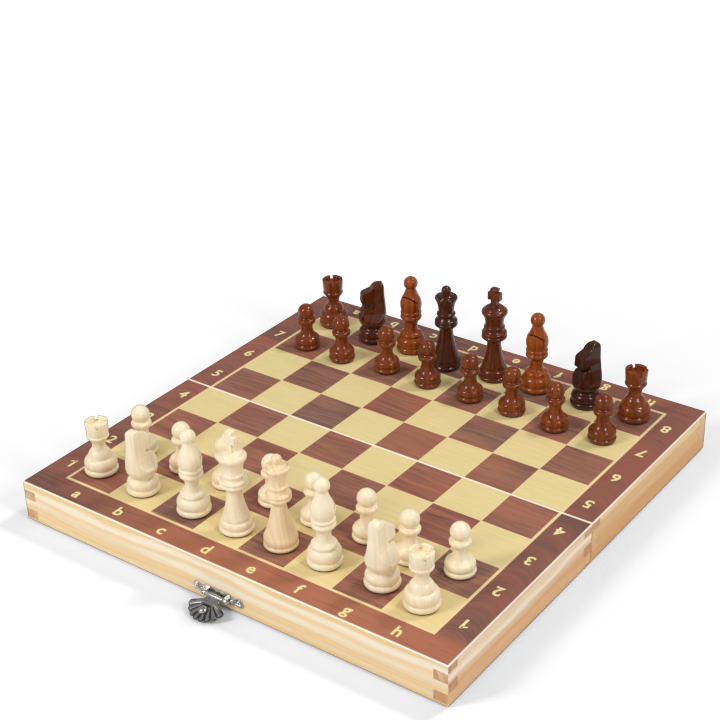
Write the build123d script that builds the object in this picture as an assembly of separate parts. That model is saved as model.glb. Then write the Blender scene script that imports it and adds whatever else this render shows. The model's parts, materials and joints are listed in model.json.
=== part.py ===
"""Folding chess board: two shallow hinged cases that open flat into the playing board, with its magnetic men.

Frame: millimetres, +Z up. X runs along the files from a to h, Y runs from rank 1 to rank 8.
The origin lies at the middle of the seam, on the plane of the case rims, which is the underside.
The front case carries ranks 1 to 4 and the hasp, the rear case ranks 5 to 8 and the catch.
"""
import os
from math import atan2, cos, degrees, radians, sin

from build123d import *

# Playing field and cases
square = 31.5
side_border = 20.0
end_border = 17.5
case_height = 25.5
wall = 8.5
seam_gap = 0.6
arris = 0.7
top_finger = 5.6
finger_pitch = 6.3
panel_rebate = 4.5
panel_thickness = 3.0
steel_thickness = 0.3
print_thickness = 0.4
lining_thickness = 1.0
lining_rim_gap = 3.0
glue_gap = 0.05

# Hinges on the seam
hinge_offset = 86.0
hinge_length = 31.0
hinge_leaf_height = 9.0
hinge_leaf_thickness = 0.8
hinge_leaf_gap = 0.2
hinge_knuckles = 5
hinge_knuckle_radius = 1.05
hinge_knuckle_gap = 0.1
hinge_pin_radius = 0.5
hinge_axis_drop = 0.1
hinge_clearance = 0.25
running_clearance = 0.05
leaf_screw_spacing = 18.0
leaf_screw_height = 5.2

# Screws
screw_radius = 0.9
screw_head_radius = 1.7
screw_head_height = 0.9
screw_length = 6.0
screw_slot = 0.5
screw_slot_depth = 0.3
screw_fit = 0.05

# Hasp on the front wall
hasp_axis_height = 6.4
hasp_axis_offset = 3.0
hasp_rest_angle = 22.0
hasp_barrel_radius = 1.5
hasp_barrel_length = 11.6
hasp_end_gap = 0.15
hasp_pin_radius = 0.7
hasp_ear_length = 3.0
hasp_plate_length = 36.0
hasp_plate_width = 6.6
hasp_plate_thickness = 0.8
hasp_plate_waist = 3.8
hasp_lobe_radius = 2.8
hasp_screw_spacing = 29.5
hasp_flap_length = 16.2
hasp_flap_thickness = 0.8
hasp_flap_half_width = 12.0
hasp_flap_shoulder = 7.0
hasp_neck_half_width = 4.6
hasp_neck_length = 3.2
hasp_lobes = 8
hasp_scallop = 0.8
hasp_rib_height = 0.45
hasp_rib_width = 1.1
hasp_rib_root = 0.4
hasp_rib_start = 3.0
hasp_knob_distance = 10.0
hasp_knob_radius = 2.2
hasp_knob_height = 2.0
hasp_knob_stem = 1.1

# Snap bead behind the hasp's flap and the catch on the rear wall
bead_radius = 1.0
bead_length = 6.0
bead_stand_off = 0.3
catch_width = 16.0
catch_height = 6.6
catch_rim_gap = 1.0
catch_thickness = 0.8
catch_corner = 1.5
catch_screw_spacing = 11.2
keeper_height = 3.3
keeper_gap = 0.5

# Men
felt_thickness = 0.8
felt_inset = 0.7
magnet_diameter = 9.0
magnet_thickness = 2.5
magnet_gap = 0.1
pawn_height = 31.0
pawn_base = 16.8
rook_height = 33.4
rook_base = 19.6
rook_notch = 2.2
rook_notch_depth = 2.6
knight_height = 42.0
knight_base = 19.2
bishop_height = 52.8
bishop_base = 19.2
bishop_slit = 0.9
bishop_slit_angle = 51.0
bishop_slit_height_share = 0.67
bishop_slit_depth_share = 0.07
queen_height = 57.2
queen_base = 19.2
queen_points = 8
queen_scallop = 0.8
queen_scallop_height_share = 0.885
queen_scallop_start_share = 0.26
king_height = 62.5
king_base = 19.6
cross_width = 8.0
cross_thickness = 4.2
cross_stem = 4.8
cross_round = 0.6
cross_foot_share = 0.795
cross_arm_share = 0.62
cross_arm_half_share = 0.19

# Sizes worked out from the ones above
half_length = 4 * square + side_border
half_depth = 4 * square + end_border
seam_face = seam_gap / 2
print_floor = case_height - print_thickness
steel_floor = print_floor - steel_thickness
panel_floor = steel_floor - panel_thickness
lining_floor = panel_floor - lining_thickness
knuckle_pitch = hinge_length / hinge_knuckles
leaf_face = hinge_leaf_gap / 2
leaf_back = leaf_face + hinge_leaf_thickness
hasp_axis_y = -half_depth - hasp_axis_offset
hasp_ear_end = hasp_barrel_length / 2 + hasp_ear_length
catch_middle = catch_rim_gap + catch_height / 2
bead_distance = hasp_axis_height + 2 * hinge_axis_drop + keeper_height + 2 * bead_radius + keeper_gap

files = "abcdefgh"
bases = {"pawn": pawn_base, "rook": rook_base, "knight": knight_base,
         "bishop": bishop_base, "queen": queen_base, "king": king_base}
back_rank = {"a": "rook", "b": "knight", "c": "bishop", "f": "bishop", "g": "knight", "h": "rook"}
royals = {"white": {"d": "king", "e": "queen"}, "black": {"d": "queen", "e": "king"}}

# How far each man stands off the middle of its square, as the men were set down
set_down = {
    "white_rook_a": (-5.0, 0.0), "white_knight_b": (-2.0, -1.5), "white_bishop_c": (4.5, -1.5),
    "white_king": (4.0, -1.5), "white_queen": (2.0, 0.0), "white_bishop_f": (-0.5, 0.5),
    "white_knight_g": (4.0, 2.0), "white_rook_h": (-1.0, -1.0), "white_pawn_a": (1.0, -2.0),
    "white_pawn_b": (2.0, -3.0), "white_pawn_c": (2.0, -2.0), "white_pawn_d": (4.0, -1.5),
    "white_pawn_e": (3.5, -3.0), "white_pawn_f": (5.0, 0.0), "white_pawn_g": (3.5, -3.5),
    "white_pawn_h": (0.0, 1.5), "black_rook_a": (-3.5, 3.0), "black_knight_b": (0.5, -1.0),
    "black_bishop_c": (-1.5, 1.0), "black_queen": (-1.5, -5.5), "black_king": (0.0, -1.0),
    "black_bishop_f": (-1.5, 0.5), "black_knight_g": (2.0, 1.0), "black_rook_h": (2.5, 2.5),
    "black_pawn_a": (1.5, -1.5), "black_pawn_b": (-0.5, -3.0), "black_pawn_c": (1.0, 1.0),
    "black_pawn_d": (1.5, 0.0), "black_pawn_e": (2.0, -0.5), "black_pawn_f": (0.5, -0.5),
    "black_pawn_g": (0.0, -2.5), "black_pawn_h": (-1.5, 1.0),
}

# Degrees that a man is turned from looking straight across the board; below 0 it looks to its right
looks_aside = {"black_knight_b": -45.0, "black_knight_g": -20.0}


# Plain solids
def block(x_range, y_range, z_range):
    """A box between the given low and high values."""
    middle = [(low + high) / 2 for low, high in (x_range, y_range, z_range)]
    sides = [high - low for low, high in (x_range, y_range, z_range)]
    return Pos(*middle) * Box(*sides)


def bar_x(radius, x_range, y, z):
    """A round bar along X."""
    low, high = x_range
    return Pos((low + high) / 2, y, z) * Rot(0, 90, 0) * Cylinder(radius, high - low)


def bar_y(radius, y_range, x, z):
    """A round bar along Y."""
    low, high = y_range
    return Pos(x, (low + high) / 2, z) * Rot(90, 0, 0) * Cylinder(radius, high - low)


def disc(radius, z_low, z_high):
    """A round bar along Z on the origin."""
    return Pos(0, 0, (z_low + z_high) / 2) * Cylinder(radius, z_high - z_low)


def rear(solid):
    """The rear case's copy of a front case piece."""
    return mirror(solid, about=Plane.XZ)


def both_sides(distance):
    return (-distance, distance)


# Case walls with finger joints
def front_case():
    """The outside of the front case's woodwork, with its upper arrises eased."""
    solid = block(both_sides(half_length), (-half_depth, -seam_face), (0, print_floor))
    return chamfer(solid.faces().sort_by(Axis.Z)[-1].edges(), arris)


def panel_space(gap, z_range):
    """A block in the rebate of the front case's walls, a gap away from their rims."""
    rim = wall - panel_rebate + gap
    return block(both_sides(half_length - rim), (rim - half_depth, -seam_face - rim), z_range)


def finger_bands():
    """Low and high edges of the corner fingers, from the top one down."""
    bands = []
    high = case_height
    low = case_height - top_finger
    while high > 0:
        bands.append((max(low, 0), high))
        high = low
        low -= finger_pitch
    return bands


def long_wall(y_range):
    """A wall along X, which has the first, third and fifth fingers at both ends."""
    solid = block(both_sides(half_length), y_range, (0, case_height))
    for x_range in ((-half_length, wall - half_length), (half_length - wall, half_length)):
        for band in finger_bands()[1::2]:
            solid -= block(x_range, y_range, band)
    return (solid & front_case()) - panel_space(0, (panel_floor, case_height))


def side_wall(x_range):
    """A wall along Y, which has the second and fourth fingers at both ends."""
    solid = block(x_range, (-half_depth, -seam_face), (0, case_height))
    for y_range in ((-half_depth, wall - half_depth), (-seam_face - wall, -seam_face)):
        for band in finger_bands()[0::2]:
            solid -= block(x_range, y_range, band)
    return (solid & front_case()) - panel_space(0, (panel_floor, case_height))


def pilot_hole(x, face, z):
    """The hole for one screw in the outer wall or spine wall, from its face inwards."""
    depth = screw_length + screw_fit
    return bar_y(screw_radius + screw_fit, (min(face, face + depth), face + depth), x, z)


def outer_wall(screw_places, screw_height):
    """The wall under the end rank, with pilot holes for what is screwed to it."""
    solid = long_wall((-half_depth, wall - half_depth))
    for x in screw_places:
        solid -= pilot_hole(x, -half_depth, screw_height)
    return solid


def spine_wall():
    """The wall at the seam, let in for the hinge leaves and grooved for their knuckles."""
    solid = long_wall((-seam_face - wall, -seam_face))
    for centre in both_sides(hinge_offset):
        x_range = (centre - hinge_length / 2 - glue_gap, centre + hinge_length / 2 + glue_gap)
        solid -= block(x_range, (-leaf_back - glue_gap, 0), (0, hinge_leaf_height + glue_gap))
        solid -= bar_x(hinge_knuckle_radius + hinge_clearance, x_range, 0, -hinge_axis_drop)
        for x in leaf_screw_places(centre):
            solid -= bar_y(screw_radius + screw_fit, (-leaf_face - screw_length - screw_fit, 0), x,
                           leaf_screw_height)
    return solid


# What the walls carry
def printed_sheet():
    """The printed playing surface, over the panel and the walls as far as their eased arrises."""
    y_range = (arris - half_depth, -seam_face - arris)
    return block(both_sides(half_length - arris), y_range, (print_floor, case_height))


def inner_space(gap, z_range):
    """A block inside the four walls of the front case, a gap away from each."""
    reach = wall + gap
    return block(both_sides(half_length - reach), (reach - half_depth, -seam_face - reach), z_range)


def lining():
    """A flocked tray glued under the panel and up the walls, open at the rim."""
    shell = inner_space(glue_gap, (lining_rim_gap, panel_floor))
    return shell - inner_space(glue_gap + lining_thickness, (0, lining_floor))


# Butt hinges
def leaf_screw_places(centre):
    return (centre - leaf_screw_spacing / 2, centre + leaf_screw_spacing / 2)


def flat_screw_blank(fit):
    """A flush wood screw along -Y from the face of its head, before its slot is cut."""
    radius = screw_radius + fit
    head_radius = screw_head_radius + fit
    flare = head_radius - radius
    cone = Pos(0, -flare / 2, 0) * Rot(-90, 0, 0) * Cone(radius, head_radius, flare)
    return cone + bar_y(radius, (-screw_length, 0), 0, 0)


def flat_screw():
    slot = block(both_sides(screw_head_radius), (-screw_slot_depth, 0), both_sides(screw_slot / 2))
    return flat_screw_blank(0) - slot


def front_leaf(centre, first_knuckle):
    """One leaf on the seam face of the front case, with every other knuckle of its hinge."""
    x_range = (centre - hinge_length / 2, centre + hinge_length / 2)
    y_range = (-leaf_back, -leaf_face)
    above_knuckles = hinge_knuckle_radius + hinge_clearance - hinge_axis_drop
    leaf = block(x_range, y_range, (above_knuckles, hinge_leaf_height))
    for number in range(first_knuckle, hinge_knuckles, 2):
        low = x_range[0] + number * knuckle_pitch + hinge_knuckle_gap / 2
        own_range = (low, low + knuckle_pitch - hinge_knuckle_gap)
        leaf += block(own_range, y_range, (-hinge_axis_drop, above_knuckles))
        leaf += bar_x(hinge_knuckle_radius, own_range, 0, -hinge_axis_drop)
    leaf -= bar_x(hinge_pin_radius + running_clearance, x_range, 0, -hinge_axis_drop)
    for x in leaf_screw_places(centre):
        leaf -= Pos(x, -leaf_face, leaf_screw_height) * flat_screw_blank(screw_fit)
    return leaf


def hinge_pin(centre):
    x_range = (centre - hinge_length / 2, centre + hinge_length / 2)
    return bar_x(hinge_pin_radius, x_range, 0, -hinge_axis_drop)


def front_leaf_screws():
    places = [x for centre in both_sides(hinge_offset) for x in leaf_screw_places(centre)]
    return [Pos(x, -leaf_face, leaf_screw_height) * flat_screw() for x in places]


# Hasp on the front wall
def round_screw():
    """A round-headed wood screw along +Y, the seat of its head at the origin."""
    head = bar_y(screw_head_radius, (-screw_head_height, 0), 0, 0)
    head = fillet(head.edges().sort_by(Axis.Y)[0], screw_head_height * 0.7)
    slot = block(both_sides(screw_head_radius), (-screw_head_height, screw_slot_depth - screw_head_height),
                 both_sides(screw_slot / 2))
    return head + bar_y(screw_radius, (0, screw_length), 0, 0) - slot


def hasp_plate():
    """A plate with pointed ends on the front wall, whose two ears hold the flap's pin."""
    outline = Rectangle(2 * hasp_ear_end, hasp_plate_width)
    outline += Rectangle(hasp_screw_spacing, hasp_plate_waist)
    for side in (-1, 1):
        lobe = side * hasp_screw_spacing / 2
        tip = side * hasp_plate_length / 2
        outline += Pos(lobe, 0) * Circle(hasp_lobe_radius)
        outline += make_face(Polyline((lobe, hasp_plate_waist / 2), (tip, 0), (lobe, -hasp_plate_waist / 2),
                                      close=True))
    plate = Pos(0, -half_depth, hasp_axis_height) * extrude(Plane.XZ * outline, hasp_plate_thickness)
    for side in (-1, 1):
        x_range = sorted((side * (hasp_barrel_length / 2 + hasp_end_gap), side * hasp_ear_end))
        ear = bar_x(hasp_barrel_radius, x_range, hasp_axis_y, hasp_axis_height)
        ear += block(x_range, (hasp_axis_y, -half_depth),
                     (hasp_axis_height - hasp_barrel_radius, hasp_axis_height + hasp_barrel_radius))
        plate += ear
    plate -= bar_x(hasp_pin_radius, both_sides(hasp_ear_end), hasp_axis_y, hasp_axis_height)
    for x in both_sides(hasp_screw_spacing / 2):
        plate -= bar_y(screw_radius + screw_fit, (-half_depth - 2 * hasp_plate_thickness, -half_depth), x,
                       hasp_axis_height)
    return plate


def hasp_pin():
    return bar_x(hasp_pin_radius, both_sides(hasp_ear_end), hasp_axis_y, hasp_axis_height)


def hasp_screws():
    face = -half_depth - hasp_plate_thickness
    return [Pos(x, face, hasp_axis_height) * round_screw() for x in both_sides(hasp_screw_spacing / 2)]


def swung(solid):
    """Turns a flap piece, drawn lying straight out along -Y from the pin, to its rest angle."""
    return Pos(0, hasp_axis_y, hasp_axis_height) * Rot(hasp_rest_angle, 0, 0) * solid


def fan_centre():
    """How far the middle of the fan's round edge lies from the pin."""
    length, shoulder, half = hasp_flap_length, hasp_flap_shoulder, hasp_flap_half_width
    return (length ** 2 - half ** 2 - shoulder ** 2) / (2 * (length - shoulder))


def fan_point(angle, depth):
    """A point of the fan at an angle in degrees from its middle line, some depth inside its round edge."""
    reach = hasp_flap_length - fan_centre() - depth
    return (reach * sin(radians(angle)), -fan_centre() - reach * cos(radians(angle)))


def hasp_flap():
    """The fan: a barrel on the pin, a neck and a ribbed, scalloped leaf with a snap bead behind it."""
    half_angle = degrees(atan2(hasp_flap_half_width, hasp_flap_shoulder - fan_centre()))
    lobe_angle = 2 * half_angle / hasp_lobes
    edge = []
    for number in range(hasp_lobes):
        start = half_angle - number * lobe_angle
        stop = start - lobe_angle
        edge.append(ThreePointArc(fan_point(start, hasp_scallop), fan_point(start - lobe_angle / 2, 0),
                                  fan_point(stop, hasp_scallop)))
    neck = Polyline(fan_point(-half_angle, hasp_scallop), (-hasp_neck_half_width, -hasp_neck_length),
                    (-hasp_neck_half_width, 0), (hasp_neck_half_width, 0),
                    (hasp_neck_half_width, -hasp_neck_length), fan_point(half_angle, hasp_scallop))
    half_thickness = hasp_flap_thickness / 2
    flap = Pos(0, 0, -half_thickness) * extrude(make_face(edge + [neck]), hasp_flap_thickness)
    rib_length = hasp_flap_length - fan_centre() - hasp_scallop - 0.5 * hasp_rib_width
    rib_outline = make_face(Polyline((-hasp_rib_root / 2, -hasp_rib_start), (-hasp_rib_width / 2, -rib_length),
                                     (hasp_rib_width / 2, -rib_length), (hasp_rib_root / 2, -hasp_rib_start),
                                     close=True))
    rib = Pos(0, -fan_centre(), half_thickness) * extrude(rib_outline, hasp_rib_height)
    for number in range(hasp_lobes):
        turn = (number + 0.5) * lobe_angle - half_angle
        flap += Pos(0, -fan_centre(), 0) * Rot(0, 0, turn) * Pos(0, fan_centre(), 0) * rib
    barrel_range = both_sides(hasp_barrel_length / 2)
    flap += bar_x(hasp_barrel_radius, barrel_range, 0, 0)
    flap -= bar_x(hasp_pin_radius + running_clearance, barrel_range, 0, 0)
    flap += bar_x(bead_radius, both_sides(bead_length / 2), -bead_distance, -half_thickness - bead_stand_off)
    return swung(flap - Pos(0, -hasp_knob_distance, 0) * disc(hasp_knob_stem + screw_fit, *both_sides(4)))


def hasp_knob():
    """A round knob riveted through the fan."""
    seat = hasp_flap_thickness / 2 + hasp_rib_height
    head = disc(hasp_knob_radius, seat, seat + hasp_knob_height)
    head = fillet(head.edges().sort_by(Axis.Z)[-1], hasp_knob_height * 0.45)
    stem = disc(hasp_knob_stem, -hasp_flap_thickness / 2, seat)
    return swung(Pos(0, -hasp_knob_distance, 0) * (head + stem))


# Catch on the rear wall
def catch_plate():
    """A small plate on the rear wall with the ridge that the hasp's bead snaps past."""
    face = half_depth + catch_thickness
    z_range = (catch_rim_gap, catch_rim_gap + catch_height)
    plate = block(both_sides(catch_width / 2), (half_depth, face), z_range)
    plate = fillet(plate.edges().filter_by(Axis.Y), catch_corner)
    plate += bar_x(bead_radius, both_sides(bead_length / 2), face + bead_stand_off, keeper_height)
    for x in both_sides(catch_screw_spacing / 2):
        plate -= bar_y(screw_radius + screw_fit, (half_depth, face), x, catch_middle)
    return plate


def catch_screws():
    face = half_depth + catch_thickness
    return [Pos(x, face, catch_middle) * Rot(0, 0, 180) * round_screw()
            for x in both_sides(catch_screw_spacing / 2)]


# Men
def ball_middle(start, top):
    """The halfway point of a ball's outline from a point up to its top on the axis."""
    r, z = start
    centre = (top ** 2 - z ** 2 - r ** 2) / (2 * (top - z))
    angle = atan2(r, z - centre) / 2
    return ((top - centre) * sin(angle), centre + (top - centre) * cos(angle))


def turned(moves, drawn, made):
    """A lathe-turned body on the Z axis, standing on its felt.

    A move is (r, z) for a straight cut, (r_mid, z_mid, r, z) for an arc or (z,) for a ball up to the axis,
    in the sizes it is drawn at. drawn and made are (base diameter, height), and the outline is stretched
    from one to the other.
    """
    wide = made[0] / drawn[0]
    tall = (made[1] - felt_thickness) / drawn[1]

    def place(r, z):
        return (r * wide, felt_thickness + z * tall)

    start = place(0, 0)
    at = start
    edges = []
    for move in moves:
        end = place(0, *move) if len(move) == 1 else place(*move[-2:])
        if len(move) == 1:
            edges.append(ThreePointArc(at, ball_middle(at, end[1]), end))
        elif len(move) == 2:
            edges.append(Line(at, end))
        else:
            edges.append(ThreePointArc(at, place(*move[:2]), end))
        at = end
    edges.append(Line(at, start))
    return revolve(Plane.XZ * make_face(edges), Axis.Z)


def pawn():
    moves = [
        (7.9, 0), (8.6, 1.2, 8.0, 2.5), (7.6, 2.8), (8.3, 4.8, 7.4, 7.3), (4.8, 9.9, 3.8, 13.4),
        (4.1, 16.6), (5.3, 17.1, 5.9, 18.5), (5.8, 19.8, 4.5, 20.5), (4.0, 21.1), (30.2,),
    ]
    return turned(moves, (16.8, 30.2), (pawn_base, pawn_height))


def rook():
    moves = [
        (9.3, 0), (9.9, 1.5, 9.3, 3.0), (8.9, 3.3), (9.6, 5.8, 7.9, 9.4), (7.0, 9.7),
        (6.5, 12.0, 4.7, 14.6), (4.0, 16.2, 3.8, 18.2), (4.3, 20.0), (5.4, 21.6, 6.1, 22.6),
        (6.5, 23.4, 6.2, 24.2), (5.9, 24.6), (6.2, 25.0), (6.7, 32.6), (4.7, 32.6), (4.5, 29.6), (0, 29.4),
    ]
    body = turned(moves, (19.6, 32.6), (rook_base, rook_height))
    notch_heights = (rook_height - rook_notch_depth, rook_height)
    notch = block(both_sides(rook_base), both_sides(rook_notch / 2), notch_heights)
    for angle in (45, 135):
        body -= Rot(0, 0, angle) * notch
    return body


def bishop():
    moves = [
        (9.1, 0), (9.8, 1.6, 9.1, 3.2), (8.6, 3.5), (9.4, 6.0, 7.6, 9.8), (7.0, 10.2),
        (7.3, 11.5, 6.2, 13.0), (4.9, 14.0), (4.0, 17.4, 4.4, 20.8), (6.0, 22.7), (6.8, 24.1, 5.9, 25.5),
        (5.7, 25.9), (6.7, 27.2, 5.8, 28.4), (6.8, 33.0, 5.2, 38.4), (3.8, 41.4, 2.9, 44.4),
        (52.0,),
    ]
    body = turned(moves, (19.2, 52.0), (bishop_base, bishop_height))
    slit = block(both_sides(bishop_base), (-bishop_base, 0), both_sides(bishop_slit / 2))
    place = Pos(0, -bishop_slit_depth_share * bishop_base, bishop_slit_height_share * bishop_height)
    return body - place * Rot(-bishop_slit_angle, 0, 0) * slit


def queen():
    moves = [
        (9.0, 0), (9.6, 1.1, 9.1, 2.2), (8.9, 2.5), (9.4, 4.8, 8.6, 7.6), (5.7, 16.8, 4.0, 26.2),
        (4.7, 27.4), (6.2, 29.2), (7.2, 30.4, 6.6, 31.5), (7.1, 32.5, 6.0, 33.6), (4.9, 35.4),
        (5.0, 36.2), (5.8, 37.3, 4.9, 38.5), (4.8, 39.6), (5.3, 43.8, 6.8, 47.6), (7.0, 48.8, 6.2, 49.6),
        (5.4, 48.8), (4.2, 50.2, 2.3, 50.8), (1.9, 51.2), (56.4,),
    ]
    body = turned(moves, (19.2, 56.4), (queen_base, queen_height))
    cut_start = queen_scallop_start_share * queen_base
    cut = bar_x(queen_scallop, (cut_start, queen_base), 0, queen_scallop_height_share * queen_height)
    for number in range(queen_points):
        body -= Rot(0, 0, (number + 0.5) * 360 / queen_points) * cut
    return body


def king():
    moves = [
        (9.3, 0), (9.9, 1.1, 9.3, 2.2), (8.6, 2.5), (9.1, 4.6, 8.0, 6.8), (7.6, 7.1), (7.7, 8.4),
        (5.4, 16.2, 4.1, 24.2), (4.8, 25.8), (6.8, 27.8), (7.9, 29.0, 7.2, 30.2), (7.8, 31.2, 6.4, 32.6),
        (5.6, 34.0), (6.5, 35.3, 5.7, 36.6), (5.6, 37.6), (6.2, 42.0, 7.8, 45.0), (7.9, 46.6, 6.6, 47.8),
        (5.2, 49.2, 3.0, 49.6), (0, 49.6),
    ]
    body = turned(moves, (19.6, 61.7), (king_base, king_height))
    foot = cross_foot_share * king_height
    arm = foot + cross_arm_share * (king_height - foot)
    arm_half = cross_arm_half_share * (king_height - foot)
    thick = both_sides(cross_thickness / 2)
    cross = block(both_sides(cross_stem / 2), thick, (foot, king_height))
    cross += block(both_sides(cross_width / 2), thick, (arm - arm_half, arm + arm_half))
    return body + fillet(cross.edges().filter_by(Axis.Y), cross_round)


def knight():
    """A turned foot under a head that flat cuts shape from a turned blank; it looks along -Y."""
    drawn = (19.2, 41.2)
    made = (knight_base, knight_height)
    foot = turned([
        (9.1, 0), (9.8, 1.5, 9.1, 3.0), (8.5, 3.3), (9.2, 5.6, 7.7, 8.4), (6.7, 9.4, 6.5, 10.2), (0, 10.2),
    ], drawn, made)
    blank = turned([
        (6.5, 0), (6.5, 9.9), (8.6, 12.8, 9.0, 16.8), (8.7, 23.2, 8.0, 30.2), (7.6, 41.2), (0, 41.2),
    ], drawn, made)
    wide = knight_base / drawn[0]
    tall = (knight_height - felt_thickness) / drawn[1]

    def drawn_face(points):
        return make_face(Polyline(*[(a * wide, felt_thickness + b * tall) for a, b in points], close=True))

    side = drawn_face([
        (-9.5, 9.7), (-9.5, 15.6), (-5.8, 24.2), (-1.4, 25.0), (-0.8, 26.8), (-6.6, 26.4), (-7.8, 28.4),
        (-7.4, 33.4), (-6.0, 34.6), (-1.0, 36.6), (0.4, 38.8), (2.4, 40.6), (4.8, 41.2), (6.4, 40.6),
        (7.2, 39.2), (7.6, 37.2), (9.5, 16.2), (9.5, 9.7),
    ])
    front = drawn_face([
        (-9.5, 9.7), (-9.5, 15.2), (-7.4, 17.0), (-5.4, 20.0), (-4.2, 23.6), (-3.7, 27.2), (-3.4, 38.4),
        (-2.7, 40.2), (-1.2, 41.2), (1.2, 41.2), (2.7, 40.2), (3.4, 38.4), (3.7, 27.2), (4.2, 23.6),
        (5.4, 20.0), (7.4, 17.0), (9.5, 15.2), (9.5, 9.7),
    ])
    head = blank & Pos(-knight_base, 0, 0) * extrude(Plane.YZ * side, 2 * knight_base)
    head &= Pos(0, knight_base, 0) * extrude(Plane.XZ * front, 2 * knight_base)
    return foot + head


shapes = {"pawn": pawn, "rook": rook, "knight": knight, "bishop": bishop, "queen": queen, "king": king}


def man(kind):
    """One man on the origin: turned wood, a magnet let into its foot and a felt pad under both."""
    magnet_top = felt_thickness + magnet_thickness
    recess = disc(magnet_diameter / 2 + magnet_gap, felt_thickness, magnet_top + magnet_gap)
    magnet = disc(magnet_diameter / 2, felt_thickness, magnet_top)
    felt = disc(bases[kind] / 2 - felt_inset, 0, felt_thickness)
    return [shapes[kind]() - recess, magnet, felt]


def men_list():
    """Name, kind, file number and rank of every man on the board."""
    men = []
    for colour, end_rank, pawn_rank in (("white", 1, 2), ("black", 8, 7)):
        for number, letter in enumerate(files):
            men.append((f"{colour}_pawn_{letter}", "pawn", number, pawn_rank))
            if letter in back_rank:
                kind = back_rank[letter]
                men.append((f"{colour}_{kind}_{letter}", kind, number, end_rank))
            else:
                kind = royals[colour][letter]
                men.append((f"{colour}_{kind}", kind, number, end_rank))
    return men


def placed_men():
    """Every man where it stands, white looking along +Y and black along -Y or somewhat aside."""
    made = {kind: man(kind) for kind in shapes}
    nodes = {}
    for name, kind, number, rank in men_list():
        along_x, along_y = set_down[name]
        x = (number - 3.5) * square + along_x
        y = (rank - 4.5) * square + along_y
        turn = (180 if name.startswith("white") else 0) + looks_aside.get(name, 0)
        nodes[name] = [Pos(x, y, case_height) * Rot(0, 0, turn) * solid for solid in made[kind]]
    return nodes


# Nodes
def case_nodes():
    left = (-half_length, wall - half_length)
    right = (half_length - wall, half_length)
    front_outer = outer_wall(both_sides(hasp_screw_spacing / 2), hasp_axis_height)
    rear_outer = outer_wall(both_sides(catch_screw_spacing / 2), catch_middle)
    shared = {
        "spine_wall": spine_wall(),
        "left_wall": side_wall(left),
        "right_wall": side_wall(right),
        "deck_panel": panel_space(glue_gap, (panel_floor, steel_floor)),
        "steel_sheet": panel_space(glue_gap, (steel_floor, print_floor)),
        "printed_sheet": printed_sheet(),
        "lining": lining(),
    }
    nodes = {"front_outer_wall": [front_outer], "rear_outer_wall": [rear(rear_outer)]}
    for name, solid in shared.items():
        nodes[f"front_{name}"] = [solid]
        nodes[f"rear_{name}"] = [rear(solid)]
    return nodes


def fitting_nodes():
    hinges = both_sides(hinge_offset)
    screws = front_leaf_screws()
    return {
        "hinge_front_leaves": [front_leaf(centre, 0) for centre in hinges],
        "hinge_rear_leaves": [rear(front_leaf(centre, 1)) for centre in hinges],
        "hinge_pins": [hinge_pin(centre) for centre in hinges],
        "hinge_front_screws": screws,
        "hinge_rear_screws": [rear(screw) for screw in screws],
        "hasp_plate": [hasp_plate()],
        "hasp_pin": [hasp_pin()],
        "hasp_flap": [hasp_flap()],
        "hasp_knob": [hasp_knob()],
        "hasp_screws": hasp_screws(),
        "catch_plate": [catch_plate()],
        "catch_screws": catch_screws(),
    }


os.makedirs("parts", exist_ok=True)
for node, solids in {**case_nodes(), **fitting_nodes(), **placed_men()}.items():
    export_step(Compound(children=solids), f"parts/{node}.step")
print(f"case {2 * half_length} x {2 * half_depth} x {case_height} mm")
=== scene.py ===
"""The looks of the folding chess board and its men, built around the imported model.

Lengths are metres in the model's frame. The men are drawn in millimetres, as they were turned.
"""
import json
from math import atan2, cos, hypot, pi, radians, sin, tau

import bmesh
import bpy
from mathutils import Matrix, Quaternion, Vector


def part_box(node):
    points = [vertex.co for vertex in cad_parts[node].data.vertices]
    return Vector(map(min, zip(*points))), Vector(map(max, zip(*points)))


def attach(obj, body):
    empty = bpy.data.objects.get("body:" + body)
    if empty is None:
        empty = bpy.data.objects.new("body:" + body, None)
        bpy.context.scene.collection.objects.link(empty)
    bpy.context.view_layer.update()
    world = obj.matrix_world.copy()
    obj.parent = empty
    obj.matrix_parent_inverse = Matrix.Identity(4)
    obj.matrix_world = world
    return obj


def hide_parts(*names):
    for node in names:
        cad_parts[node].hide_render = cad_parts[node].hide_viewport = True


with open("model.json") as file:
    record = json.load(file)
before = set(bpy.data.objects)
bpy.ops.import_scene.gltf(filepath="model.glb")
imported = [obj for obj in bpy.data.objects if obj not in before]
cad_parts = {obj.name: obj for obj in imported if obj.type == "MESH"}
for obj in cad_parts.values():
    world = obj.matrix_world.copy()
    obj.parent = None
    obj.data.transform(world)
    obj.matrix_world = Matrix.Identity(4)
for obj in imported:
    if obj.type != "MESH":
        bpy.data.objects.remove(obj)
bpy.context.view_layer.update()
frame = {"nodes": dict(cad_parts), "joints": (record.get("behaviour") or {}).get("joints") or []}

nodes = frame["nodes"]
mm = 0.001

# The board's print
square = 31.5 * mm
field_half = 4 * square
string_width = 1.6 * mm
square_inset = 0.22 * mm
ink = 0.03 * mm
ascender = 7.6 * mm
ink_boldness = 0.022
arch_bend = 60.0
patch_start = 36 * mm
patch_length = 108 * mm
border_middle = 135 * mm

# How far from the board's middle the letters stand on and the numbers are centred
letter_foot = 139.2 * mm
back_letter_foot = 137.4 * mm
number_line = 135.2 * mm

# Pitch of the coordinates on each border and how far their middle one stands off the board's middle
front_letters = (31.6 * mm, 0.8 * mm)
back_letters = (32.0 * mm, 1.1 * mm)
left_numbers = (32.5 * mm, -0.2 * mm)
right_numbers = (31.85 * mm, -1.0 * mm)
middle_letters_aside = 1.8 * mm

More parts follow.
